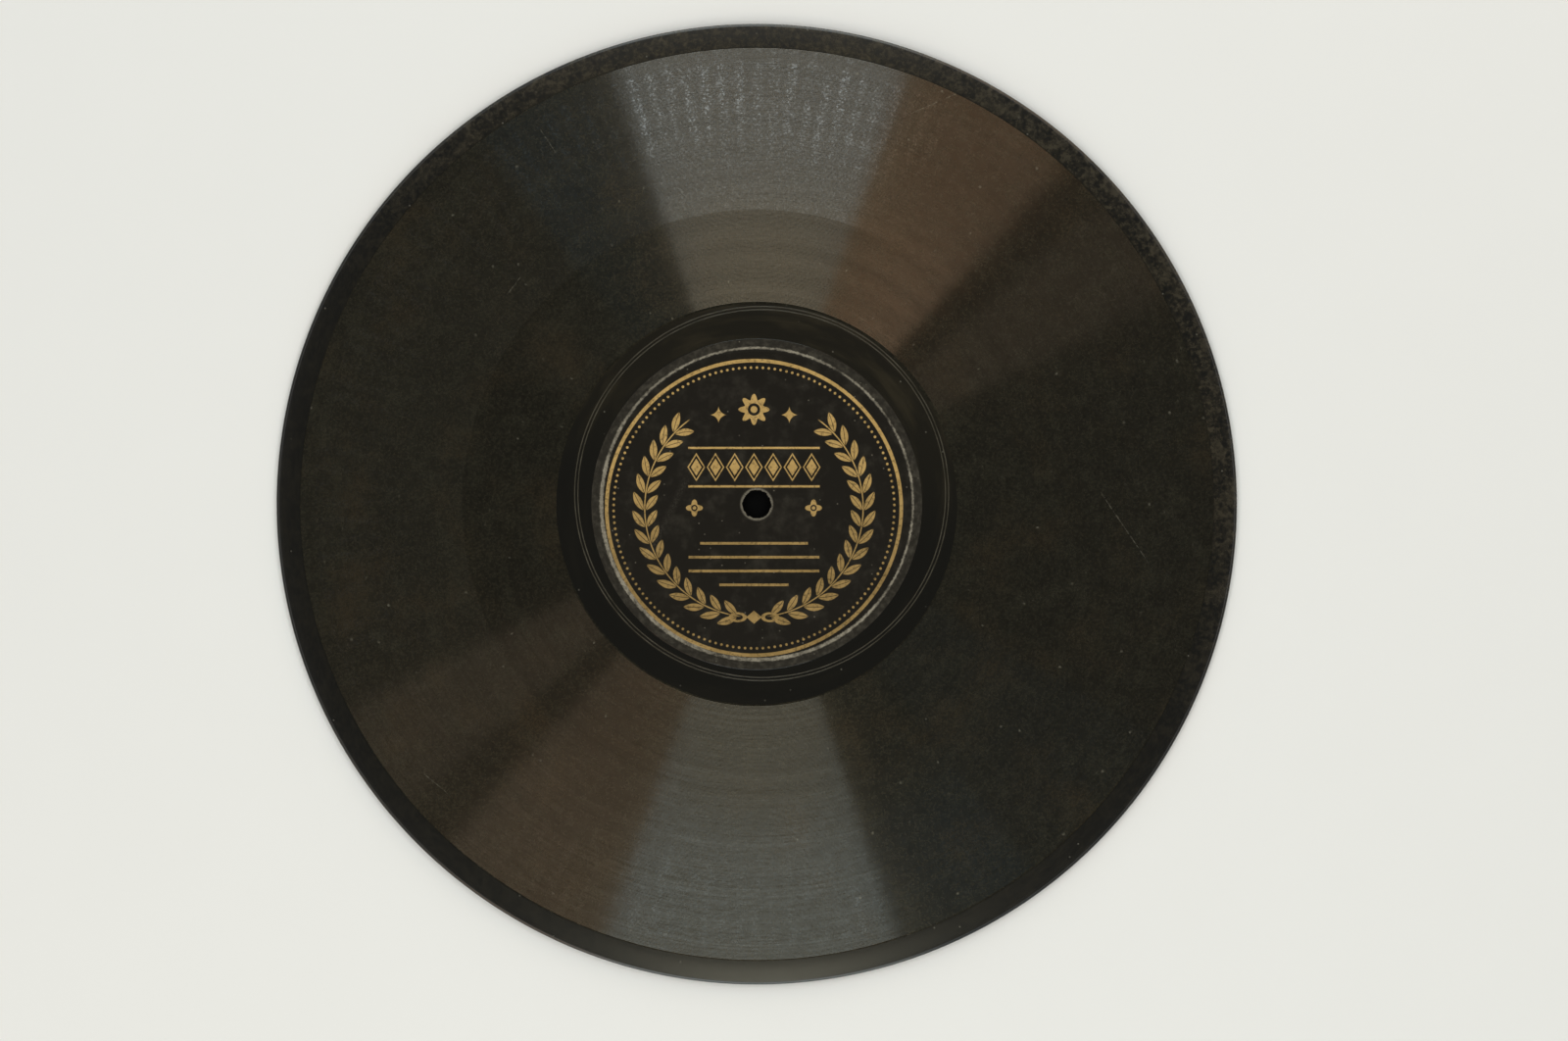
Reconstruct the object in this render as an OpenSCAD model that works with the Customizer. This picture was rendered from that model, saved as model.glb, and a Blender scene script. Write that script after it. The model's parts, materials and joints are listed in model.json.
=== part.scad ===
// Ten-inch double-sided shellac record: one pressed disc with a paper label let into each face.
// It lies flat with its front face up. The origin is on the spindle axis, on the surface it lies on.

/* [Disc] */
// Overall diameter
disc_d = 250; // [240:1:305]
// Thickness over the flat lands of both faces
disc_t = 2.2; // [1.8:0.1:3]
// Diameter of the spindle hole
hole_d = 7.24; // [7:0.02:7.6]
// Width of the smooth rim outside the recorded band
rim_w = 6.3; // [4:0.1:12]
// How far each face curves down across the rim, before the round edge
rim_drop = 0.2; // [0.1:0.05:0.4]

/* [Recorded band] */
// Distance from one turn of the spiral groove to the next
groove_pitch = 0.3; // [0.24:0.01:0.4]
// Width of the groove at the land
groove_w = 0.2; // [0.1:0.01:0.22]
// Depth of the groove
groove_depth = 0.06; // [0.04:0.01:0.1]
// One turn of the groove in this many is cut, as a closed ring
turns_per_ring = 10; // [4:1:20]
// Least width of flat land between the recorded band and the run-out circle
band_land = 0.25; // [0.1:0.05:4]

/* [Run-out grooves] */
// Distance between the two grooves of the off-centre run-out circle
runout_pitch = 0.82; // [0.6:0.02:1.2]
// Width of a run-out groove at the land
runout_w = 0.36; // [0.2:0.02:0.5]
// Depth of a run-out groove
runout_depth = 0.14; // [0.08:0.02:0.24]
// Distance of the run-out circle's centre from the spindle axis
runout_offset = 3.06; // [1:0.02:5]
// Direction of that offset, seen from the front, anticlockwise from +X
runout_angle = 65; // [0:1:359]
// Least width of flat land between the run-out circle and the label
label_land = 1.55; // [0.5:0.05:5]

/* [Labels] */
// Diameter of a paper label
label_d = 86; // [84:0.1:88]
// Thickness of the paper
paper_t = 0.12; // [0.08:0.01:0.2]
// How far the label's printed field lies below the lands
label_sink = 0.16; // [0.1:0.01:0.3]
// Distance of the crest of the bead that is pressed into the label from the paper's edge
bead_inset = 2.3; // [1:0.1:5]
// Width of the bead's steep inner side
bead_inner_w = 0.9; // [0.5:0.1:2]
// Width of the flat on the bead's crest
bead_crest_w = 0.4; // [0.2:0.1:0.8]
// How far the label's outer edge lies below the lands
label_edge_sink = 0.08; // [0.02:0.01:0.2]

/* [Hidden] */
$fn = 180;
// Angle between the points that round the edge
edge_step = 10;
// Share of the rim's width between the points that curve it
rim_step = 0.2;
// Heights are taken from the middle of the disc's thickness, where both faces mirror
land_z = disc_t / 2;
disc_r = disc_d / 2;
hole_r = hole_d / 2;
label_r = label_d / 2;
edge_r = land_z - rim_drop;
edge_centre_r = disc_r - edge_r;
bead_r = label_r - bead_inset;
// The run-out circle clears the label on its near side, and the recorded band clears it on its far side
runout_half_w = (runout_pitch + runout_w) / 2;
runout_r = label_r + label_land + runout_half_w + runout_offset;
band_inner_r = runout_r + runout_offset + runout_half_w + band_land;
band_outer_r = disc_r - rim_w;
// The first and the last turn of the groove are always cut, and the rings between them are spread evenly
ring_span = band_outer_r - band_inner_r - groove_w;
rings = floor(ring_span / groove_pitch / turns_per_ring) + 1;
ring_step = ring_span / (rings - 1);
// Half the section of the label's printed face, from the hole to the paper's edge
label_face = [
    [hole_r, land_z - label_sink],
    [bead_r - bead_crest_w / 2 - bead_inner_w, land_z - label_sink],
    [bead_r - bead_crest_w / 2, land_z],
    [bead_r + bead_crest_w / 2, land_z],
    [label_r, land_z - label_edge_sink],
];

// The section of one ring of the groove, counted outwards from the run-out land.
function groove_section(i) = let (r = band_inner_r + groove_w / 2 + i * ring_step) [
    [r - groove_w / 2, land_z],
    [r, land_z - groove_depth],
    [r + groove_w / 2, land_z],
];

// Half the section of the disc, from the hole to the tip of the edge: seat, lands, grooves and rim.
function half_section() = [
    for (p = label_face) p - [0, paper_t],
    [label_r, land_z],
    for (i = [0 : rings - 1]) each groove_section(i),
    for (t = [rim_step : rim_step : 1 - rim_step])
        [band_outer_r + t * (edge_centre_r - band_outer_r), land_z - rim_drop * t ^ 2],
    for (a = [90 : -edge_step : edge_step])
        [edge_centre_r + edge_r * cos(a), edge_r * sin(a)],
    [disc_r, 0],
];

// Repeats a shape of the front face on the back face.
module both_faces() {
    children();
    mirror([0, 0, 1]) children();
}

// Lifts the disc, modelled about its middle plane, on to the surface that it lies on.
module lying() {
    translate([0, 0, land_z]) children();
}

// The two V-shaped grooves of the run-out circle of one face, whose sides run on as far above the land.
module runout_cut() {
    rotate([0, 0, runout_angle])
        translate([runout_offset, 0, land_z])
            rotate_extrude()
                for (side = [-1, 1])
                    translate([runout_r + side * runout_pitch / 2, 0])
                        polygon([
                            [0, -runout_depth],
                            [runout_w, runout_depth],
                            [-runout_w, runout_depth],
                        ]);
}

// The pressing: rim with its round edge, recorded bands, run-out grooves, label seats and hole.
module pressed_disc() {
    half = half_section();
    color([0.08, 0.075, 0.06])
        lying()
            difference() {
                rotate_extrude()
                    polygon([
                        each half,
                        for (i = [len(half) - 2 : -1 : 0]) [half[i][0], -half[i][1]],
                    ]);
                both_faces() runout_cut();
            }
}

// A printed paper label, pressed over the bead of its seat.
module label() {
    color([0.14, 0.13, 0.11])
        rotate_extrude()
            polygon([
                each label_face,
                for (i = [len(label_face) - 1 : -1 : 0]) label_face[i] - [0, paper_t],
            ]);
}

module front_label() {
    lying() label();
}

module back_label() {
    lying() mirror([0, 0, 1]) label();
}

pressed_disc();
front_label();
back_label();
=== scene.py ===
"""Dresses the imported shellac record: its pressed disc, spiral grooves and two printed paper labels."""

import json
import math
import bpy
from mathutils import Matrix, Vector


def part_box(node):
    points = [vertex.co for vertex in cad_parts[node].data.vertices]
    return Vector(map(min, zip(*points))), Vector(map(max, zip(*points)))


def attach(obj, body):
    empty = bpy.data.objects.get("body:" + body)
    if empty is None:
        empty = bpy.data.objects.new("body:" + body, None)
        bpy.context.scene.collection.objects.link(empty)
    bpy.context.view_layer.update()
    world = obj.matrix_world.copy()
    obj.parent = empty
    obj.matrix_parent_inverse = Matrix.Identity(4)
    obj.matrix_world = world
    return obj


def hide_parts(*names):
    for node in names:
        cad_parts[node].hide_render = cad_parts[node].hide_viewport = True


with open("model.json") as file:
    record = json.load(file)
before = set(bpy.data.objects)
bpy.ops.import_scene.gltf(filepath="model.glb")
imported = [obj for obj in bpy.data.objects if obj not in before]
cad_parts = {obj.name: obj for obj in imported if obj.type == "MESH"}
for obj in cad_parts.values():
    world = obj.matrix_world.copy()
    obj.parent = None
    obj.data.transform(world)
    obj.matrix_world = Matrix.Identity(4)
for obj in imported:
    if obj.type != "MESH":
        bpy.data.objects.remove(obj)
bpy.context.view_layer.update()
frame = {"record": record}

from types import SimpleNamespace

import bmesh
import bpy
import numpy as np
from bpy.props import FloatProperty, FloatVectorProperty, IntProperty, PointerProperty
from mathutils import Vector, noise

bl_info = {
    "name": "Shellac Record",
    "version": (1, 0, 0),
    "blender": (4, 5, 0),
    "location": "View3D > Sidebar > Record",
    "description": "Models a shellac record with spiral grooves and printed labels around a packed frame",
    "category": "Add Mesh",
}

MM = 0.001
DISC_LOW, DISC_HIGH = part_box("pressed_disc")
MOUNTS = {mount["name"]: mount for mount in frame["record"]["mounts"]}
HOLE_R = MOUNTS["spindle_hole"]["dims"]["r_mm"]
DISC_R = max(DISC_HIGH[0], DISC_HIGH[1]) / MM
THICKNESS = (DISC_HIGH[2] - DISC_LOW[2]) / MM
# Distances in millimetres within which points count as one: in a section, and in a wound groove
NEAR = 0.001
WELD = 0.01


# Sizes and colours that a user would change


def length(name, default, description):
    """A length whose default is given in millimetres; Blender keeps it in metres."""
    return FloatProperty(
        name=name, description=description, default=default * MM, min=0.0, precision=5, subtype="DISTANCE"
    )


def colour(name, default, description):
    """A linear colour."""
    return FloatVectorProperty(
        name=name, description=description, default=default, subtype="COLOR", size=3, min=0.0, max=1.0
    )


class RecordSizes(bpy.types.PropertyGroup):
    """Sizes of the record."""

    disc_r: length("Disc radius", DISC_R, "Radius of the disc over its round edge")
    thickness: length("Thickness", THICKNESS, "Thickness over the lands of both faces")
    hole_r: length("Hole radius", HOLE_R, "Radius of the spindle hole")
    rim_w: length("Rim", 6.3, "Width of the smooth rim outside the recorded band")
    rim_drop: length("Rim drop", 0.2, "How far each face curves down across the rim")
    band_inner_r: length("Band's inner radius", 52.1, "Radius at which the recorded groove ends")
    groove_pitch: length("Groove pitch", 0.3, "Distance from one turn of the groove to the next")
    groove_w: length("Groove width", 0.2, "Width of the groove at the land")
    groove_depth: length("Groove depth", 0.06, "Depth of the groove")
    feed_wander: length("Feed wander", 0.06, "Half the most that the groove strays from an even spiral")
    groove_swing: length("Groove swing", 0.02, "How far the sound swings the groove to each side")
    band_base: length("Band base", 0.3, "How deep the recorded band is let into the disc")
    runout_r: length("Run-out radius", 48.2, "Radius midway between the two run-out grooves")
    runout_pitch: length("Run-out pitch", 0.82, "Distance between the two run-out grooves")
    runout_w: length("Run-out width", 0.36, "Width of a run-out groove")
    runout_depth: length("Run-out depth", 0.14, "Depth of a run-out groove")
    runout_offset: length("Run-out offset", 3.06, "Distance of the run-out circle's centre from the axis")
    runout_angle: FloatProperty(
        name="Run-out angle",
        description="Direction of that offset, anticlockwise from +X",
        default=math.radians(65),
        subtype="ANGLE",
    )
    label_r: length("Label radius", 43.0, "Radius of a paper label")
    paper_t: length("Paper", 0.12, "Thickness of the label paper")
    label_sink: length("Label sink", 0.16, "How far the label's printed field lies below the lands")
    label_edge_sink: length("Label edge sink", 0.08, "How far the label's edge lies below the lands")
    bead_r: length("Bead radius", 40.7, "Radius of the crest of the bead pressed into the label")
    bead_inner_w: length("Bead side", 0.9, "Width of the bead's steep inner side")
    bead_crest_w: length("Bead crest", 0.4, "Width of the flat on the bead's crest")
    band_steps: IntProperty(name="Band steps", description="Facets round one turn", default=144, min=24)
    disc_steps: IntProperty(
        name="Disc steps", description="Facets round the disc and labels", default=360, min=24
    )


class RecordColours(bpy.types.PropertyGroup):
    """Colours of the record and its stage."""

    shellac: colour("Shellac", (0.0052, 0.0050, 0.0039), "Bare pressed shellac")
    dust: colour("Dust", (0.0164, 0.0163, 0.0112), "Fine brown dust in the grooves")
    smudge: colour("Smudges", (0.0185, 0.0152, 0.0092), "Browner dust in smudges")
    # This colour also carries the painted reflection on the rim's upper right and the painted sheen on
    # the upper run-out land
    patina_and_sheen: colour("Patina", (0.034, 0.0265, 0.0125), "Brown bloom on the rim")
    speck: colour("Specks", (0.20, 0.19, 0.15), "Pale specks and scratches")
    label_ground: colour("Label ground", (0.0085, 0.0070, 0.0046), "Near-black ground of the print")
    # Bare paper also shows the painted highlight on the bead's lower left
    paper: colour("Paper", (0.30, 0.27, 0.21), "Bare paper where the print is worn off")
    gilt: colour("Gilt", (0.50, 0.325, 0.115), "Gilt ink")
    floor: colour("Floor", (0.80, 0.80, 0.79), "Pale floor")


def in_millimetres(sizes):
    """The record's sizes as plain values, with the lengths in millimetres."""
    values = {}
    for name in RecordSizes.__annotations__:
        is_length = sizes.bl_rna.properties[name].subtype == "DISTANCE"
        values[name] = getattr(sizes, name) / MM if is_length else getattr(sizes, name)
    return SimpleNamespace(**values)


# Mesh steps that several pieces share


def start_line(name, point):
    """A new piece in edit mode that holds one selected vertex, at a radius and a height in mm."""
    bpy.ops.object.select_all(action="DESELECT")
    bpy.ops.mesh.primitive_plane_add(size=MM, location=(0, 0, 0))
    piece = bpy.context.object
    piece.name = piece.data.name = name
    bpy.ops.object.mode_set(mode="EDIT")
    bpy.ops.mesh.merge(type="CENTER")
    bpy.ops.transform.translate(value=(point[0] * MM, 0, point[1] * MM))
    return piece


def draw_line(points):
    """Extrudes the selected vertex along a section of radii and heights in millimetres."""
    for (r0, z0), (r1, z1) in zip(points, points[1:]):
        step = ((r1 - r0) * MM, 0, (z1 - z0) * MM)
        bpy.ops.mesh.extrude_region_move(TRANSFORM_OT_translate={"value": step})


def turn_section(name, section, steps):
    """A closed section turned about the axis into a closed piece, left in edit mode."""
    piece = start_line(name, section[0])
    draw_line(section + section[:1])
    bpy.ops.mesh.select_all(action="SELECT")
    bpy.ops.mesh.remove_doubles(threshold=NEAR * MM)
    bpy.ops.mesh.spin(steps=steps, angle=math.tau, center=(0, 0, 0), axis=(0, 0, 1))
    bpy.ops.mesh.select_all(action="SELECT")
    bpy.ops.mesh.remove_doubles(threshold=NEAR * MM)
    bpy.ops.mesh.normals_make_consistent(inside=False)
    return piece


def select_vertices(piece, wanted):
    """Selects the vertices of a piece in edit mode whose radius and height in mm are wanted."""
    bpy.ops.mesh.select_all(action="DESELECT")
    mesh = bmesh.from_edit_mesh(piece.data)
    for vertex in mesh.verts:
        vertex.select_set(wanted(vertex.co.xy.length / MM, vertex.co.z / MM))
    mesh.select_flush_mode()
    bmesh.update_edit_mesh(piece.data)


def finish_piece(piece, smooth_angle):
    """Back to object mode, with edges sharper than the angle kept crisp."""
    bpy.ops.object.mode_set(mode="OBJECT")
    bpy.ops.object.select_all(action="DESELECT")
    piece.select_set(True)
    bpy.context.view_layer.objects.active = piece
    bpy.ops.object.shade_smooth_by_angle(angle=math.radians(smooth_angle))


def turned_over(piece, name, height):
    """A copy of a piece with its own mesh, turned over about the X axis at half the height in mm."""
    bpy.ops.object.select_all(action="DESELECT")
    piece.select_set(True)
    bpy.context.view_layer.objects.active = piece
    bpy.ops.object.duplicate(linked=False)
    copy = bpy.context.object
    copy.name = copy.data.name = name
    copy.rotation_euler = (math.pi, 0, 0)
    copy.location = (0, 0, height * MM)
    bpy.ops.object.transform_apply(location=True, rotation=True, scale=True)
    return copy


def dress(piece, node, material):
    """Puts a piece in the place of a CAD node, with its finish."""
    piece.data.materials.clear()
    piece.data.materials.append(material)
    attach(piece, "root")
    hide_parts(node)


# Sections of the record, as radii and heights in millimetres from the front face's land


def smooth_step(t):
    return t * t * (3 - 2 * t)


def label_face(s, points=10):
    """The printed face of a label, from the hole to the paper's edge."""
    crest_in = s.bead_r - s.bead_crest_w / 2
    crest_out = s.bead_r + s.bead_crest_w / 2
    shares = [i / points for i in range(points + 1)]
    field = [s.hole_r + (crest_in - s.bead_inner_w - s.hole_r) * smooth_step(t) for t in shares[:-1]]
    rise = [(crest_in - s.bead_inner_w * (1 - t), -s.label_sink * (1 - smooth_step(t))) for t in shares]
    fall = [(crest_out + (s.label_r - crest_out) * t, -s.label_edge_sink * t * t) for t in shares]
    return [(r, -s.label_sink) for r in field] + rise + fall


def runout_face(s):
    """The land between the label and the recorded band, with the two rounded run-out grooves."""
    # Points of a groove, as shares of its width and of its depth
    groove = ((-0.5, 0), (-0.3, 0.62), (-0.12, 0.94), (0.12, 0.94), (0.3, 0.62), (0.5, 0))
    line = []
    for side in (-1, 1):
        middle = s.runout_r + side * s.runout_pitch / 2
        for share, depth in groove:
            line.append((middle + share * s.runout_w, -depth * s.runout_depth))
    return line


def rim_face(s, rim_points=8, edge_points=10):
    """The rim, which curves down to the round edge and ends at its tip, halfway down."""
    half = s.thickness / 2
    edge_r = half - s.rim_drop
    start = s.disc_r - s.rim_w
    centre = s.disc_r - edge_r
    # The edge's arc starts with seven tenths of the slope angle at which the rim ends
    lean = math.atan(2 * s.rim_drop / (centre - start)) * 0.7
    shares = [i / rim_points for i in range(1, rim_points)]
    line = [(start + t * (centre - start), -s.rim_drop * t * t) for t in shares]
    for i in range(edge_points + 1):
        angle = math.pi / 2 - lean - (math.pi / 2 - lean) * i / edge_points
        line.append((centre + edge_r * math.cos(angle), edge_r * math.sin(angle) - half))
    return line


def disc_section(s, seat_gap=0.01, bevel_w=0.04, bevel_h=0.03):
    """The closed section of the disc without its bands; bevelled seats just clear the labels."""
    seat = [(r, z - s.paper_t - seat_gap) for r, z in label_face(s)]
    band_outer_r = s.disc_r - s.rim_w
    front = seat + [(s.label_r, -bevel_h), (s.label_r + bevel_w, 0)]
    front += runout_face(s)
    front += [(s.band_inner_r, 0), (s.band_inner_r, -s.band_base)]
    front += [(band_outer_r, -s.band_base), (band_outer_r, 0)]
    front += rim_face(s)
    back = [(r, -s.thickness - z) for r, z in reversed(front[:-1])]
    return [(r, s.thickness + z) for r, z in front + back]


# Shader maths


class Wire:
    """An output socket in a tree of nodes, on which Python's operators add Math nodes."""

    def __init__(self, tree, socket=None):
        self.tree = tree
        self.socket = socket

    def node(self, kind, settings=(), values=(), out=0):
        """Adds a node, makes its settings, fills or links its sockets, and gives one of its outputs."""
        made = self.tree.nodes.new(kind)
        for name, value in dict(settings).items():
            setattr(made, name, value)
        for key, value in dict(values).items():
            if isinstance(value, Wire):
                self.tree.links.new(value.socket, made.inputs[key])
            else:
                made.inputs[key].default_value = value
        return Wire(self.tree, made.outputs[out] if made.outputs else None)

    def maths(self, operation, *values, clamp=False):
        """A Math node on plain values or wires."""
        settings = {"operation": operation, "use_clamp": clamp}
        return self.node("ShaderNodeMath", settings, dict(enumerate(values)))

    def __add__(self, other):
        return self.maths("ADD", self, other)

    __radd__ = __add__

    def __sub__(self, other):
        return self.maths("SUBTRACT", self, other)

    def __rsub__(self, other):
        return self.maths("SUBTRACT", other, self)

    def __mul__(self, other):
        return self.maths("MULTIPLY", self, other)

    __rmul__ = __mul__

    def __truediv__(self, other):
        return self.maths("DIVIDE", self, other)

    def __pow__(self, other):
        return self.maths("POWER", self, other)

    def __abs__(self):
        return self.maths("ABSOLUTE", self)

    def __or__(self, other):
        """The greater of two masks."""
        return self.maths("MAXIMUM", self, other)

    def __and__(self, other):
        """The lesser of two masks."""
        return self.maths("MINIMUM", self, other)

    def fraction(self):
        return self.maths("FRACT", self)

    def within(self, half, soft=0.08):
        """1 where the value is less than half from zero, with a soft edge."""
        return self.maths("MULTIPLY_ADD", half - abs(self), 1 / soft, 0.5, clamp=True)

    def rise(self, low, high):
        """0 below low, 1 above high, smooth between."""
        settings = {"interpolation_type": "SMOOTHSTEP"}
        return self.node("ShaderNodeMapRange", settings, {0: self, 1: low, 2: high})

    def mix(self, below, above):
        """A colour that goes from below to above as this mask goes from 0 to 1."""
        pick = [c if isinstance(c, Wire) else (*c, 1.0) for c in (below, above)]
        return self.node("ShaderNodeMix", {"data_type": "RGBA"}, {0: self, 6: pick[0], 7: pick[1]}, out=2)

    def vector(self, x, y, z):
        return self.node("ShaderNodeCombineXYZ", (), {0: x, 1: y, 2: z})

    def noise(self, place, scale, detail=2.0, roughness=0.5):
        values = {"Vector": place, "Scale": scale, "Detail": detail, "Roughness": roughness}
        return self.node("ShaderNodeTexNoise", (), values)


def new_material(name):
    """An empty material, with a wire to its nodes."""
    material = bpy.data.materials.new(name)
    material.use_nodes = True
    material.node_tree.nodes.clear()
    return material, Wire(material.node_tree)


def place_of(tree, flip=1):
    """Object coordinates in millimetres: x, y, the radius, and the place itself as a vector."""
    place = tree.node("ShaderNodeTexCoord", out=3)
    scale = (1 / MM, flip / MM, 1 / MM)
    scaled = tree.node("ShaderNodeMapping", {"vector_type": "POINT"}, {0: place, 3: scale})
    x, y = (tree.node("ShaderNodeSeparateXYZ", (), {0: scaled}, out=i) for i in range(2))
    return x, y, (x * x + y * y) ** 0.5, scaled


def surface(tree, constants, **values):
    """A Principled shader on the material's output; constants are set on its own sockets."""
    filled = dict(constants)
    filled.update({name.replace("_", " "): value for name, value in values.items()})
    shader = tree.node("ShaderNodeBsdfPrincipled", (), filled)
    tree.node("ShaderNodeOutputMaterial", (), {"Surface": shader})


def stroke(x, y, ends, width, soft):
    """A mask along a straight line between two points, in millimetres."""
    (x0, y0), (x1, y1) = ends
    span = math.hypot(x1 - x0, y1 - y0)
    ux, uy = (x1 - x0) / span, (y1 - y0) / span
    along = (x - (x0 + x1) / 2) * ux + (y - (y0 + y1) / 2) * uy
    across = (y - (y0 + y1) / 2) * ux - (x - (x0 + x1) / 2) * uy
    return across.within(width / 2, soft) & along.within(span / 2, span / 4)


# Finishes


# Ends of single scratches in the grooves and of a scuff on the label, in millimetres from the axis
BAND_SCRATCHES = (
    ((-56.0, 97.0), (-52.4, 91.6)),
    ((40.0, 101.5), (54.5, 107.8)),
    ((90.5, 1.5), (101.0, -14.0)),
    ((-86.0, -70.5), (-80.5, -75.0)),
    ((-64.5, 55.0), (-61.5, 59.0)),
)
LABEL_SCUFF = ((-27.0, -11.5), (-18.5, 6.0))
# Radius in millimetres at which cells along the turns have their true length
CELL_R = 95.0
# Radii from which the lively zone and the lead-in turns set in, and over what width they do so
LIVELY_R = 76.3
LEAD_IN_R = 114.9
ZONE_EDGE_W = 0.5
# Spokes of glints round the band
SPOKES = 152


def cells(tree, u, v, cell):
    """Irregular cells of this size in mm: the distance from a cell's middle, and its own chance."""
    values = {"Vector": tree.vector(u, v, 0.0), "Scale": 1 / cell}
    middle = tree.node("ShaderNodeTexVoronoi", {"voronoi_dimensions": "2D"}, values)
    draw = tree.node("ShaderNodeTexVoronoi", {"voronoi_dimensions": "2D"}, values, out=1)
    return middle * cell, tree.node("ShaderNodeSeparateColor", (), {0: draw})


def specks(tree, u, v, cell, share, size):
    """Small pale dots, one in the given share of the cells of this size in millimetres."""
    away, chance = cells(tree, u, v, cell)
    return away.within(size, size * 0.9) * chance.rise(1 - share, 1 - share * 0.3)


def round_place(tree, x, y, r, across, along):
    """Coordinates that follow the turns: noise cells to a millimetre across, and to a radian along."""
    return tree.vector(x / r * along, y / r * along, r * across)


def groove_material(colours):
    """Grooved shellac: brown dust, fine glints, a livelier outer zone, specks and hairline scratches."""
    material, tree = new_material("grooved shellac")
    x, y, r, place = place_of(tree)
    bearing = x.maths("ARCTAN2", y, x)
    along = bearing * CELL_R
    drawn_out = bearing * 70.0
    smudge = tree.noise(place, 0.045, 4.0, 0.6).rise(0.46, 0.72)
    clouds = tree.noise(place, 0.17, 5.0, 0.68).rise(0.42, 0.72)
    grain = tree.noise(place, 1.6, 3.0, 0.6).rise(0.34, 0.68)
    streaks = tree.noise(round_place(tree, x, y, r, 0.8, 7.0), 1.0, 3.0, 0.6)
    dusty = 0.1 + smudge * 0.3 + clouds * 0.4 + streaks.rise(0.35, 0.75) * 0.15 + grain * 0.5
    marks = specks(tree, along, r, 2.6, 0.02, 0.3) * (0.1 + grain * 0.35)
    marks = marks | specks(tree, drawn_out, r, 1.3, 0.14, 0.22) * clouds * streaks.rise(0.4, 0.7) * 0.2
    spared = ((y - x) / r).rise(0.3, 0.7)
    outer_zone = r.rise(LIVELY_R, LIVELY_R + ZONE_EDGE_W)
    lead_in = r.rise(LEAD_IN_R, LEAD_IN_R + ZONE_EDGE_W)
    # On the left the outer zone holds a little more dust
    dusty = dusty + outer_zone * (x / r * -1).rise(0.5, 0.9) * 0.15
    # The half that wear has spared keeps a livelier outer zone, and the lead-in turns are smooth
    lively_zone = outer_zone * (1 - lead_in * 0.7) * (0.25 + spared * 0.75)
    chance = cells(tree, along, r, 0.36)[1]
    # Near the rim the glints gather in spokes
    spokes = tree.noise(round_place(tree, x, y, r, 0.05, 30.0), 1.0, 1.0, 0.5).rise(0.3, 0.6)
    spokes = spokes * x.maths("COSINE", bearing * SPOKES).rise(-1, 1) * r.rise(84, 104)
    sparkle = chance ** 4 * (0.08 + lively_zone * (0.22 + spokes * 0.6))
    # Turns and stretches of a turn differ a little in gloss, the turns most in the lower half
    turns = tree.noise(tree.vector(0.0, 0.0, r), 1.2, 2.0, 0.6) - 0.5
    dashes = tree.noise(round_place(tree, x, y, r, 1.5, 26.0), 1.0, 2.0, 0.6) - 0.5
    gloss = 0.29 + spared * (outer_zone * 0.11 - 0.11)
    upper = y.rise(-30, 30)
    gloss = gloss * (0.98 + turns * (1.6 - upper * 1.15) + dashes * (1.2 - spared * 0.8)) + sparkle
    gloss = gloss * (1 + lively_zone * spokes * 0.14)
    for ends in BAND_SCRATCHES:
        marks = marks | stroke(x, y, ends, 0.16, 0.2) * grain * 0.55
    base = dusty.mix(colours.shellac, smudge.mix(colours.dust, colours.smudge))
    base = marks.mix(base, colours.speck)
    glints = {"Strength": 1.0, "Distance": 0.01 * MM, "Height": chance * (0.3 + lively_zone)}
    bump = tree.node("ShaderNodeBump", (), glints)
    constants = {
        "IOR": 1.52,
        "Specular IOR Level": 0.25,
        "Specular Tint": (1.0, 0.72, 0.42, 1.0),
        "Coat IOR": 1.7,
        "Coat Roughness": 0.09,
    }
    surface(
        tree,
        constants,
        Base_Color=base,
        Roughness=0.17 + grain * 0.08 + dusty * 0.06,
        Coat_Weight=gloss,
        Normal=bump,
    )
    return material


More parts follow.
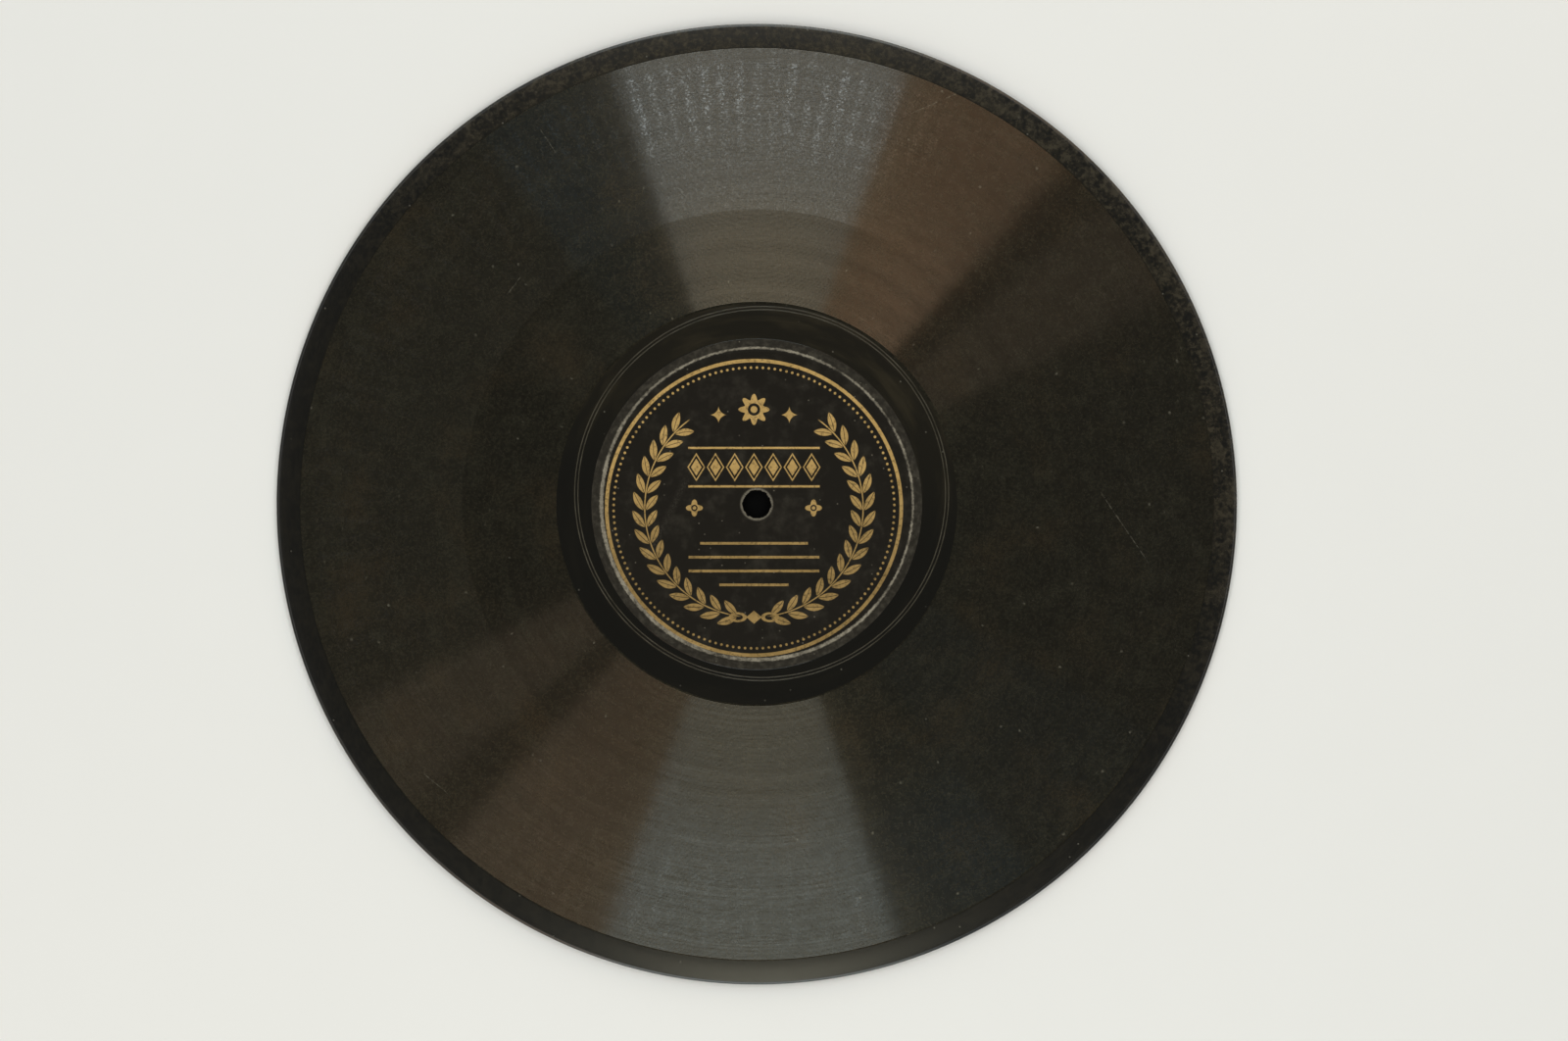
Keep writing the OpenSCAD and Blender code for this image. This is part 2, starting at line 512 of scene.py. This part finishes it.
def land_material(colours, s):
    """Smooth shellac of the land, rim, edge and hole: glossy black, with a mottled brown film on the rim
    that a painted reflection makes heaviest at the upper right, and a painted sheen on the upper run-out
    land.
    """
    material, tree = new_material("smooth shellac")
    x, y, r, place = place_of(tree)
    rim = r.rise(s.disc_r - s.rim_w - 0.2, s.disc_r - s.rim_w + 0.4)
    cloud = tree.noise(place, 0.3, 4.0, 0.65)
    fine = tree.noise(place, 0.9, 4.0, 0.65)
    smear = tree.noise(round_place(tree, x, y, r, 0.3, 2.2), 1.0, 3.0, 0.6).rise(0.45, 0.75)
    hairlines = tree.noise(round_place(tree, x, y, r, 5.0, 9.0), 1.0, 3.0, 0.7)
    # Dust lies in the two run-out grooves, which are centred off the axis
    aside = [s.runout_offset * turn for turn in (math.cos(s.runout_angle), math.sin(s.runout_angle))]
    away = ((x - aside[0]) ** 2 + (y - aside[1]) ** 2) ** 0.5
    dusty = (abs(away - s.runout_r) - s.runout_pitch / 2).within(s.runout_w * 0.42, 0.1)
    dusty = dusty * (0.35 + hairlines.rise(0.3, 0.7) * 0.65)
    mottled = cloud.rise(0.42, 0.64) * 0.35 + fine.rise(0.42, 0.66) * 0.4
    # Brown bloom lies on the rim, laid on heaviest at its upper right as a painted reflection, and a thin
    # painted sheen lies on the upper run-out land
    bloom_and_sheen = rim * (0.22 + (y + x * 0.55).rise(-20, 95) * 1.02) * mottled
    painted_sheen = (1 - rim) * (0.3 + smear * 0.7) * (0.06 + (y + x * 0.2).rise(-5, 32) * 0.44)
    bloom_and_sheen = bloom_and_sheen | painted_sheen
    marks = specks(tree, x, y, 2.2, 0.03, 0.2) * 0.35
    # Brown bloom, dust in the run-out grooves, the painted reflection and the painted sheen all take this
    # brown colour
    base = (bloom_and_sheen | dusty).mix(colours.shellac, colours.patina_and_sheen)
    base = (marks | dusty * 0.2).mix(base, colours.speck)
    relief = {"Strength": 0.3, "Distance": 0.01 * MM, "Height": hairlines + fine * 0.5}
    bump = tree.node("ShaderNodeBump", (), relief)
    surface(
        tree,
        {"IOR": 1.52},
        Base_Color=base,
        Roughness=0.12 + rim * 0.05 + bloom_and_sheen * 0.15 + hairlines * 0.08 + dusty * 0.3 + marks * 0.3,
        Normal=bump,
    )
    return material


# The label's print, in millimetres: its centre, its ring, its beads, its wreath and the wreath's leaves
PRINT_CENTRE = (-0.72, -0.97)
RING_R = 38.3
BEADS_R = 36.5
WREATH_R = 28.4
LEAF_STEP = 4.4
LEAF_LENGTH = 5.3
# How many beads go round, and which pair of leaves is midway up the wreath
BEADS = 148
MIDDLE_PAIR = 8


def leaves(bearing, rho):
    """Laurel leaves in pairs along the wreath, which is tied at the bottom and open at the top."""
    lean = math.radians(33)
    along = abs(bearing) * WREATH_R
    cell = along / LEAF_STEP
    start = cell.fraction() * LEAF_STEP
    out = abs(rho - WREATH_R) - 0.3
    mask = None
    for back in (0, 1):
        number = cell.maths("FLOOR", cell) - back
        u = start + back * LEAF_STEP
        a = (u * math.cos(lean) + out * math.sin(lean)) / LEAF_LENGTH
        b = out * math.cos(lean) - u * math.sin(lean)
        half = a * (1 - a) * 3.8
        leaf = b.within(half, 1 / 9) * (1 - b.within(0.07, 0.1)) * (number - MIDDLE_PAIR).within(7.2, 0.3)
        mask = leaf if mask is None else mask | leaf
    stem = (rho - WREATH_R).within(0.16) * (cell - (MIDDLE_PAIR + 0.5)).within(7.6, 0.3)
    return mask | stem


def flower(x, y, petals, r, swing):
    """A round ornament of petals about a dotted centre."""
    away = (x * x + y * y) ** 0.5
    turn = x.maths("COSINE", x.maths("ARCTAN2", y, x) * petals)
    outline = (away - turn * swing).within(r)
    return outline * (1 - (away - r * 0.38).within(r * 0.11))


def lozenge(x, y, half_w, half_h):
    """The size of a diamond about zero on which a point lies, 1 on its outline."""
    return abs(x) / half_w + abs(y) / half_h


def gilt_print(x, y):
    """The gilt ornament of a label: ring, beads, wreath, lozenges, flowers, stars and plain rules."""
    rho = (x * x + y * y) ** 0.5
    bearing = x.maths("ARCTAN2", x, y * -1)
    ring = (rho - RING_R).within(0.46)
    bead_step = math.tau * BEADS_R / BEADS
    round_cell = ((bearing * (BEADS / math.tau)).fraction() - 0.5) * bead_step
    bead = ((round_cell * round_cell + (rho - BEADS_R) * (rho - BEADS_R)) ** 0.5).within(0.34)
    side = abs(x)
    row = 10.6
    cell_w = 5.0
    row_half = cell_w * 3.5
    u = ((x / cell_w + 0.5).fraction() - 0.5) * cell_w
    shape = lozenge(u, y - row, 2.3, 3.7)
    lozenges = (1 - (shape - 0.72).within(0.12, 0.06)) * shape.within(1.0, 0.06) * x.within(row_half)
    frame_lines = (abs(y - row) - 5.0).within(0.28, 0.06) * x.within(row_half - 0.4)
    knot = lozenge(x, y + WREATH_R, 2.0, 1.7).within(1.0, 0.06)
    loop_r = (((side - 4.2) / 2.3) ** 2 + ((y + WREATH_R) / 1.25) ** 2) ** 0.5
    bow = (loop_r - 0.8).within(0.22, 0.08)
    rosette = flower(x, y - 25.6, 8, 3.3, 0.75)
    small = flower(side - 15.5, y, 4, 1.7, 0.5)
    star = ((abs(side - 9.2) / 2.2) ** 0.6 + (abs(y - 24.2) / 2.2) ** 0.6).within(1.0, 0.08)
    rules = None
    for height, half in ((-9.2, 14.0), (-12.8, 17.0), (-16.4, 17.0), (-20.0, 9.0)):
        rule = (y - height).within(0.34, 0.06) * x.within(half)
        rules = rule if rules is None else rules | rule
    ornament = ring | bead | leaves(bearing, rho) | lozenges | frame_lines | knot | bow
    return ornament | rosette | small | star | rules


def label_material(colours, s, name, flip):
    """Near-black printed paper with flaking gilt, pale along the bead and round the hole where wear lays
    the paper bare, and a painted highlight on the bead's lower left.
    """
    material, tree = new_material(name)
    x, y, r, place = place_of(tree, flip)
    grain = tree.noise(place, 2.6, 4.0, 0.65)
    blotch = tree.noise(place, 0.22, 4.0, 0.6)
    patchy = tree.noise(round_place(tree, x, y, r, 0.8, 26.0), 1.0, 4.0, 0.65)
    gilt = gilt_print(x - PRINT_CENTRE[0], y - PRINT_CENTRE[1])
    flakes = tree.noise(place, 1.1, 4.0, 0.7).rise(0.5, 0.66)
    # The gilt is laid on stronger towards the top
    gilt = gilt * (1 - flakes * 0.55) * (0.45 + blotch.rise(0.3, 0.7) * 0.2 + y.rise(-14, 14) * 0.35)
    # At the lower left the bead's pale crest is widened and moved inwards as a painted highlight
    painted_highlight = 1 - ((x + y) / r).rise(-1.2, 0.6)
    uneven = tree.noise(round_place(tree, x, y, r, 0.0, 4.5), 1.0, 3.0, 0.6)
    ragged = tree.noise(place, 1.5, 3.0, 0.65) - 0.5
    crest = r - s.bead_r + 0.05 + painted_highlight * 0.25 + ragged * 0.7
    crest = crest.within(0.1 + uneven * 0.35 + painted_highlight * 0.2, 0.3)
    crest = crest * (0.12 + patchy.rise(0.34, 0.6) * 0.65 + uneven.rise(0.35, 0.6) * 0.4)
    slope = r.rise(s.bead_r, s.bead_r + 0.5) * (0.03 + 0.10 * patchy.rise(0.4, 0.75))
    hole = (1 - r.rise(s.hole_r + 0.3, s.hole_r + 0.9)) * (0.3 + patchy.rise(0.25, 0.6) * 0.7)
    scuff = stroke(x, y, LABEL_SCUFF, 0.9, 1.6) * grain.rise(0.35, 0.7) * 0.10
    dusting = blotch.rise(0.45, 0.8) * 0.05 + specks(tree, x, y, 1.5, 0.04, 0.16) * 0.35
    # Wear and the painted highlight on the bead's lower left both lay the paper bare
    wear_and_highlight = crest * 0.75 | slope | hole * 0.5 | scuff | dusting
    base = gilt.mix(colours.label_ground, colours.gilt)
    base = wear_and_highlight.mix(base, colours.paper)
    relief = {"Strength": 0.4, "Distance": 0.02 * MM, "Height": grain + wear_and_highlight}
    bump = tree.node("ShaderNodeBump", (), relief)
    surface(
        tree,
        {"IOR": 1.45, "Specular IOR Level": 0.12},
        Base_Color=base,
        Metallic=gilt * 0.2,
        Roughness=0.46 + grain * 0.12 + wear_and_highlight * 0.25,
        Normal=bump,
    )
    return material


# Operators, one for each piece or group of like pieces


class RECORD_OT_disc(bpy.types.Operator):
    """Turn the pressed disc: rim, round edge, run-out land, label seats and spindle hole"""

    bl_idname = "record.disc"
    bl_label = "Pressed Disc"

    def execute(self, context):
        s = in_millimetres(context.scene.record_sizes)
        piece = turn_section("disc_body", disc_section(s), s.disc_steps)
        # The run-out grooves move off the axis together
        reach = (s.runout_pitch + s.runout_w) / 2 + WELD
        select_vertices(piece, lambda r, z: abs(r - s.runout_r) < reach)
        shift = Vector((math.cos(s.runout_angle), math.sin(s.runout_angle), 0)) * s.runout_offset * MM
        bpy.ops.transform.translate(value=shift)
        finish_piece(piece, smooth_angle=22)
        dress(piece, "pressed_disc", land_material(context.scene.record_colours, s))
        return {"FINISHED"}


class RECORD_OT_bands(bpy.types.Operator):
    """Model the recorded bands: one unbroken spiral groove on each face"""

    bl_idname = "record.bands"
    bl_label = "Recorded Bands"

    def execute(self, context):
        s = in_millimetres(context.scene.record_sizes)
        outer_r = s.disc_r - s.rim_w
        top = s.thickness
        land = s.groove_pitch - s.groove_w
        turns = int((outer_r - s.band_inner_r) / s.groove_pitch) - 1
        start = outer_r - land / 2
        one_turn = [
            (start, top),
            (start - s.groove_w / 2, top - s.groove_depth),
            (start - s.groove_w, top),
            (start - s.groove_pitch, top),
        ]
        piece = start_line("front_recorded_band", one_turn[0])
        draw_line(one_turn)
        bpy.ops.object.mode_set(mode="OBJECT")
        repeat = piece.modifiers.new("turns", "ARRAY")
        repeat.count = turns
        repeat.use_relative_offset = False
        repeat.use_constant_offset = True
        repeat.constant_offset_displace = (-s.groove_pitch * MM, 0, 0)
        repeat.use_merge_vertices = True
        repeat.merge_threshold = WELD * MM
        bpy.ops.object.modifier_apply(modifier=repeat.name)
        self.add_margins(piece, outer_r, s.band_inner_r, top)
        rings = len(piece.data.vertices)
        turn = piece.modifiers.new("turn", "SCREW")
        turn.axis = "Z"
        # Just short of a full turn, so that the two ends stay apart until the groove is wound
        turn.angle = math.tau * (1 - 1e-6)
        turn.steps = turn.render_steps = s.band_steps
        turn.use_merge_vertices = False
        bpy.ops.object.modifier_apply(modifier=turn.name)
        self.wind_inwards(piece, rings, self.recorded_swing(turns, s), s)
        self.close_under(piece, s)
        finish_piece(piece, smooth_angle=20)
        material = groove_material(context.scene.record_colours)
        dress(piece, "pressed_disc", material)
        back = turned_over(piece, "back_recorded_band", s.thickness)
        dress(back, "pressed_disc", material)
        return {"FINISHED"}

    @staticmethod
    def add_margins(piece, outer_r, inner_r, top):
        """Runs the section's two ends out to the plain land on either side of the band."""
        bpy.ops.object.mode_set(mode="EDIT")
        ends = [vertex.co.x / MM for vertex in piece.data.vertices]
        for end, target in ((max(ends), outer_r), (min(ends), inner_r)):
            select_vertices(piece, lambda r, z, end=end: abs(r - end) < NEAR)
            draw_line([(end, top), (target, top)])
        bpy.ops.object.mode_set(mode="OBJECT")

    @staticmethod
    def recorded_swing(turns, s, seed=78, alike_turns=21, alike_steps=61, fade_turns=8):
        """How far the groove lies inwards of an even spiral at each step along it, in millimetres."""
        count = turns * s.band_steps + 1
        draws = np.random.default_rng(seed)
        # The feed strays alike in neighbouring turns and steps, and the sound swings each step by itself
        run_in = alike_turns * s.band_steps
        along = np.hanning(alike_steps)
        across = np.hanning(alike_turns)
        wander = np.convolve(draws.standard_normal(run_in + count), along, mode="same")
        shifted = [weight * np.roll(wander, turn * s.band_steps) for turn, weight in enumerate(across)]
        wander = sum(shifted)[run_in:]
        wander = np.clip(wander / wander.std(), -2, 2) * s.feed_wander
        swing = draws.uniform(-1, 1, count) * s.groove_swing
        # The first and the last turn are even, and the swing sets in over the next turns
        lead = np.minimum(np.arange(count), np.arange(count)[::-1]) / s.band_steps
        return (wander + swing) * np.clip((lead - 1) / fade_turns, 0, 1)

    @staticmethod
    def wind_inwards(piece, rings, swing, s):
        """Draws each turn in by one pitch over its length, to run on into the next, and swings it."""
        count = len(piece.data.vertices)
        points = np.empty(count * 3)
        piece.data.vertices.foreach_get("co", points)
        points = points.reshape(-1, rings, 3)
        radius = np.hypot(points[..., 0], points[..., 1]) / MM
        free = (radius < radius.max() - NEAR) & (radius > radius.min() + NEAR)
        step = np.arange(len(points))[:, None]
        turn = ((radius[free].max() - radius[0] + WELD) / s.groove_pitch).astype(int)
        place = np.clip(turn * s.band_steps + step, 0, len(swing) - 1)
        inwards = step / s.band_steps * s.groove_pitch + swing[place]
        points[..., :2] *= (1 - free * inwards / radius)[..., None]
        piece.data.vertices.foreach_set("co", points.ravel())
        piece.data.update()

    @staticmethod
    def close_under(piece, s):
        """Joins the turns, closes both ends of the groove, and gives the band its sides and underside."""
        bpy.ops.object.mode_set(mode="EDIT")
        bpy.ops.mesh.select_all(action="SELECT")
        bpy.ops.mesh.remove_doubles(threshold=WELD * MM)
        bpy.ops.mesh.fill_holes(sides=8)
        bpy.ops.mesh.select_all(action="DESELECT")
        bpy.ops.mesh.select_mode(type="EDGE")
        bpy.ops.mesh.select_non_manifold(
            extend=False, use_wire=False, use_multi_face=False, use_verts=False
        )
        down = (0, 0, -s.band_base * MM)
        bpy.ops.mesh.extrude_edges_move(TRANSFORM_OT_translate={"value": down})
        bpy.ops.mesh.bridge_edge_loops()
        bpy.ops.mesh.select_mode(type="VERT")
        bpy.ops.mesh.select_all(action="SELECT")
        bpy.ops.mesh.normals_make_consistent(inside=False)


class RECORD_OT_labels(bpy.types.Operator):
    """Press the two printed paper labels over the beads of their seats"""

    bl_idname = "record.labels"
    bl_label = "Paper Labels"

    def execute(self, context):
        s = in_millimetres(context.scene.record_sizes)
        face = [(r, s.thickness + z) for r, z in label_face(s)]
        section = face + [(r, z - s.paper_t) for r, z in reversed(face)]
        piece = turn_section("front_paper_label", section, s.disc_steps)
        self.fray_hole(piece, s)
        finish_piece(piece, smooth_angle=40)
        back = turned_over(piece, "back_paper_label", s.thickness)
        colours = context.scene.record_colours
        dress(piece, "front_label", label_material(colours, s, "front label print", 1))
        dress(back, "back_label", label_material(colours, s, "back label print", -1))
        return {"FINISHED"}

    @staticmethod
    def fray_hole(piece, s, wear=0.3):
        """Wears the paper back unevenly round the hole, by up to wear millimetres."""
        mesh = bmesh.from_edit_mesh(piece.data)
        for vertex in mesh.verts:
            r = vertex.co.xy.length / MM
            if r < s.hole_r + WELD:
                place = vertex.co.xy.to_3d()
                ragged = noise.noise(place * 900) + 0.5 * noise.noise(place * 2300)
                vertex.co.xy *= 1 + wear * min(max(0.4 + ragged, 0), 1) / r
        bmesh.update_edit_mesh(piece.data)


class RECORD_OT_stage(bpy.types.Operator):
    """Set up the pale floor, the soft studio lights and the camera"""

    bl_idname = "record.stage"
    bl_label = "Stage"

    # The photograph's frame and the disc's centre and radius in it, in pixels
    FRAME_PX = (1600, 1062)
    DISC_PX = (772.2, 514.4, 490.0)
    # Lens, sensor, the floor's painted shade under the hole and how far the floor lies below the record,
    # in millimetres
    LENS = 50.0
    SENSOR = 23.6
    HOLE_SHADE_R = 12.0
    FLOOR_GAP = 0.1

    def execute(self, context):
        s = in_millimetres(context.scene.record_sizes)
        self.add_floor(context.scene.record_colours)
        self.add_lights()
        self.add_world(context.scene)
        self.add_camera(context.scene, s)
        context.scene.view_settings.view_transform = "Standard"
        return {"FINISHED"}

    def add_floor(self, colours):
        """A pale matt floor just below the record, with a painted shade under the spindle hole, which the
        view from below looks through.
        """
        bpy.ops.object.select_all(action="DESELECT")
        bpy.ops.mesh.primitive_plane_add(size=4.0, location=(0, 0, -self.FLOOR_GAP * MM))
        floor = bpy.context.object
        floor.name = floor.data.name = "floor"
        bpy.ops.object.transform_apply(location=True, rotation=True, scale=True)
        material, tree = new_material("pale floor")
        r, place = place_of(tree)[2:]
        shade = tree.noise(place, 0.04, 4.0).mix([c * 0.985 for c in colours.floor], colours.floor)
        # A painted shade darkens the floor where the spindle hole shows it
        painted_hole_shade = (0.004, 0.004, 0.004)
        shade = r.rise(self.HOLE_SHADE_R, self.HOLE_SHADE_R + 2).mix(painted_hole_shade, shade)
        matt = tree.node("ShaderNodeBsdfPrincipled", (), {"Base Color": shade, "Specular IOR Level": 0.0})
        clear = tree.node("ShaderNodeBsdfTransparent")
        below = tree.node("ShaderNodeNewGeometry", out=6)
        seen = tree.node("ShaderNodeMixShader", (), {0: below, 1: matt, 2: clear})
        tree.node("ShaderNodeOutputMaterial", (), {"Surface": seen})
        floor.data.materials.append(material)

    @staticmethod
    def add_panel(name, place, turn, size, tint, radiance):
        """A soft rectangular light of this radiance that the camera doesn't see."""
        light = bpy.data.lights.new(name, "AREA")
        light.shape = "RECTANGLE"
        light.size, light.size_y = size
        light.color = tint
        light.energy = radiance * math.pi * size[0] * size[1]
        lamp = bpy.data.objects.new(name, light)
        lamp.location = place
        lamp.rotation_euler = turn
        lamp.visible_camera = False
        bpy.context.collection.objects.link(lamp)

    def add_lights(self):
        """Panels on both sides of the record, which fill sectors in tiers, and two cards overhead."""
        # The panels' distance from the axis and the edges of their tiers, in metres
        away = 1.2
        heights = (0.06, 0.476, 0.64, 0.85, 1.3)
        white, cream = (0.88, 0.98, 1.0), (1.0, 0.95, 0.78)
        cool, pale = (0.80, 0.97, 1.0), (0.95, 1.0, 0.885)
        amber, tan = (1.0, 0.67, 0.43), (1.0, 0.78, 0.56)
        blue = (0.3, 0.7, 1.0)
        # Each sector's bearings in degrees, and the tint and radiance of its tiers from the floor up
        sectors = (
            ("painted_sheen", 127, 150, ((blue, 0.0), (pale, 0.4), (blue, 0.2), (blue, 0.2))),
            ("fill", 108, 127, ((blue, 0.55), (blue, 0.5), (blue, 0.0), (blue, 0.75))),
            ("key", 71, 108, ((white, 7.4), (cream, 7.65), (pale, 3.5), (cool, 6.7))),
            ("warm", 48, 71, ((amber, 3.3), (amber, 5.6), (tan, 1.7), (tan, 2.5))),
            ("side", 27, 41, ((tan, 0.9), (tan, 1.1), (tan, 1.3), (tan, 1.2))),
        )
        # Facing panels have their tiers in reverse, so that both flanks of the groove shine alike
        for name, start, end, tiers in sectors:
            width = 2 * away * math.tan(math.radians((end - start) / 2))
            for side, order in ((0, tiers), (180, tiers[::-1])):
                bearing = math.radians((start + end) / 2 + side)
                turn = (math.pi / 2, 0, bearing + math.pi / 2)
                for low, high, (tint, radiance) in zip(heights, heights[1:], order):
                    if not radiance:
                        continue
                    place = (away * math.cos(bearing), away * math.sin(bearing), (low + high) / 2)
                    self.add_panel(name, place, turn, (width, high - low), tint, radiance / 2)
        overhead = 0.86
        flat = (0, 0, 0)
        self.add_panel("near_card", (0, -0.39, overhead), flat, (0.15, 0.27), (1.0, 0.96, 0.74), 3.1)
        self.add_panel("far_card", (0, 0.37, overhead), flat, (0.25, 0.25), (1.0, 0.95, 0.82), 0.55)

    @staticmethod
    def add_world(scene):
        """Soft light from a broad ring overhead, dim near the horizon and at the zenith."""
        world = bpy.data.worlds.new("studio")
        scene.world = world
        world.use_nodes = True
        world.node_tree.nodes.clear()
        tree = Wire(world.node_tree)
        ray = tree.node("ShaderNodeTexCoord", out=0)
        up = tree.node("ShaderNodeSeparateXYZ", (), {0: ray}, out=2)
        horizon, zenith = (0.12, 0.12, 0.118), (0.06, 0.06, 0.06)
        bright = (1.8, 1.8, 1.78)
        ring = up.rise(0.66, 0.78) * (1 - up.rise(0.82, 0.93))
        glow = ring.mix(up.rise(0.55, 0.8).mix(horizon, zenith), bright)
        sky = tree.node("ShaderNodeBackground", (), {"Color": glow, "Strength": 1.0})
        tree.node("ShaderNodeOutputWorld", (), {"Surface": sky})

    def add_camera(self, scene, s):
        """Looks straight down, so that the disc has its size and place in the photograph's frame."""
        lens = bpy.data.cameras.new("camera")
        lens.lens = self.LENS
        lens.sensor_width = self.SENSOR
        lens.clip_start = 0.01
        camera = bpy.data.objects.new("camera", lens)
        centre_x, centre_y, radius = self.DISC_PX
        per_px = s.disc_r * MM / radius
        distance = self.LENS / self.SENSOR * self.FRAME_PX[0] * per_px
        camera.location = (
            (self.FRAME_PX[0] / 2 - centre_x) * per_px,
            (centre_y - self.FRAME_PX[1] / 2) * per_px,
            distance + s.thickness * MM / 2,
        )
        bpy.context.collection.objects.link(camera)
        scene.camera = camera


class RECORD_PT_panel(bpy.types.Panel):
    """Lists the record's operators, sizes and colours in the sidebar"""

    bl_idname = "RECORD_PT_panel"
    bl_label = "Shellac Record"
    bl_space_type = "VIEW_3D"
    bl_region_type = "UI"
    bl_category = "Record"

    def draw(self, context):
        for operator in OPERATORS:
            self.layout.operator(operator.bl_idname)
        for group in (context.scene.record_sizes, context.scene.record_colours):
            for name in group.__annotations__:
                self.layout.prop(group, name)


OPERATORS = (RECORD_OT_stage, RECORD_OT_disc, RECORD_OT_bands, RECORD_OT_labels)
CLASSES = (RecordSizes, RecordColours, *OPERATORS, RECORD_PT_panel)


def register():
    for item in CLASSES:
        bpy.utils.register_class(item)
    bpy.types.Scene.record_sizes = PointerProperty(type=RecordSizes)
    bpy.types.Scene.record_colours = PointerProperty(type=RecordColours)


def unregister():
    del bpy.types.Scene.record_colours
    del bpy.types.Scene.record_sizes
    for item in reversed(CLASSES):
        bpy.utils.unregister_class(item)


def main():
    register()
    bpy.ops.record.stage()
    bpy.ops.record.disc()
    bpy.ops.record.bands()
    bpy.ops.record.labels()


if __name__ == "__main__":
    main()
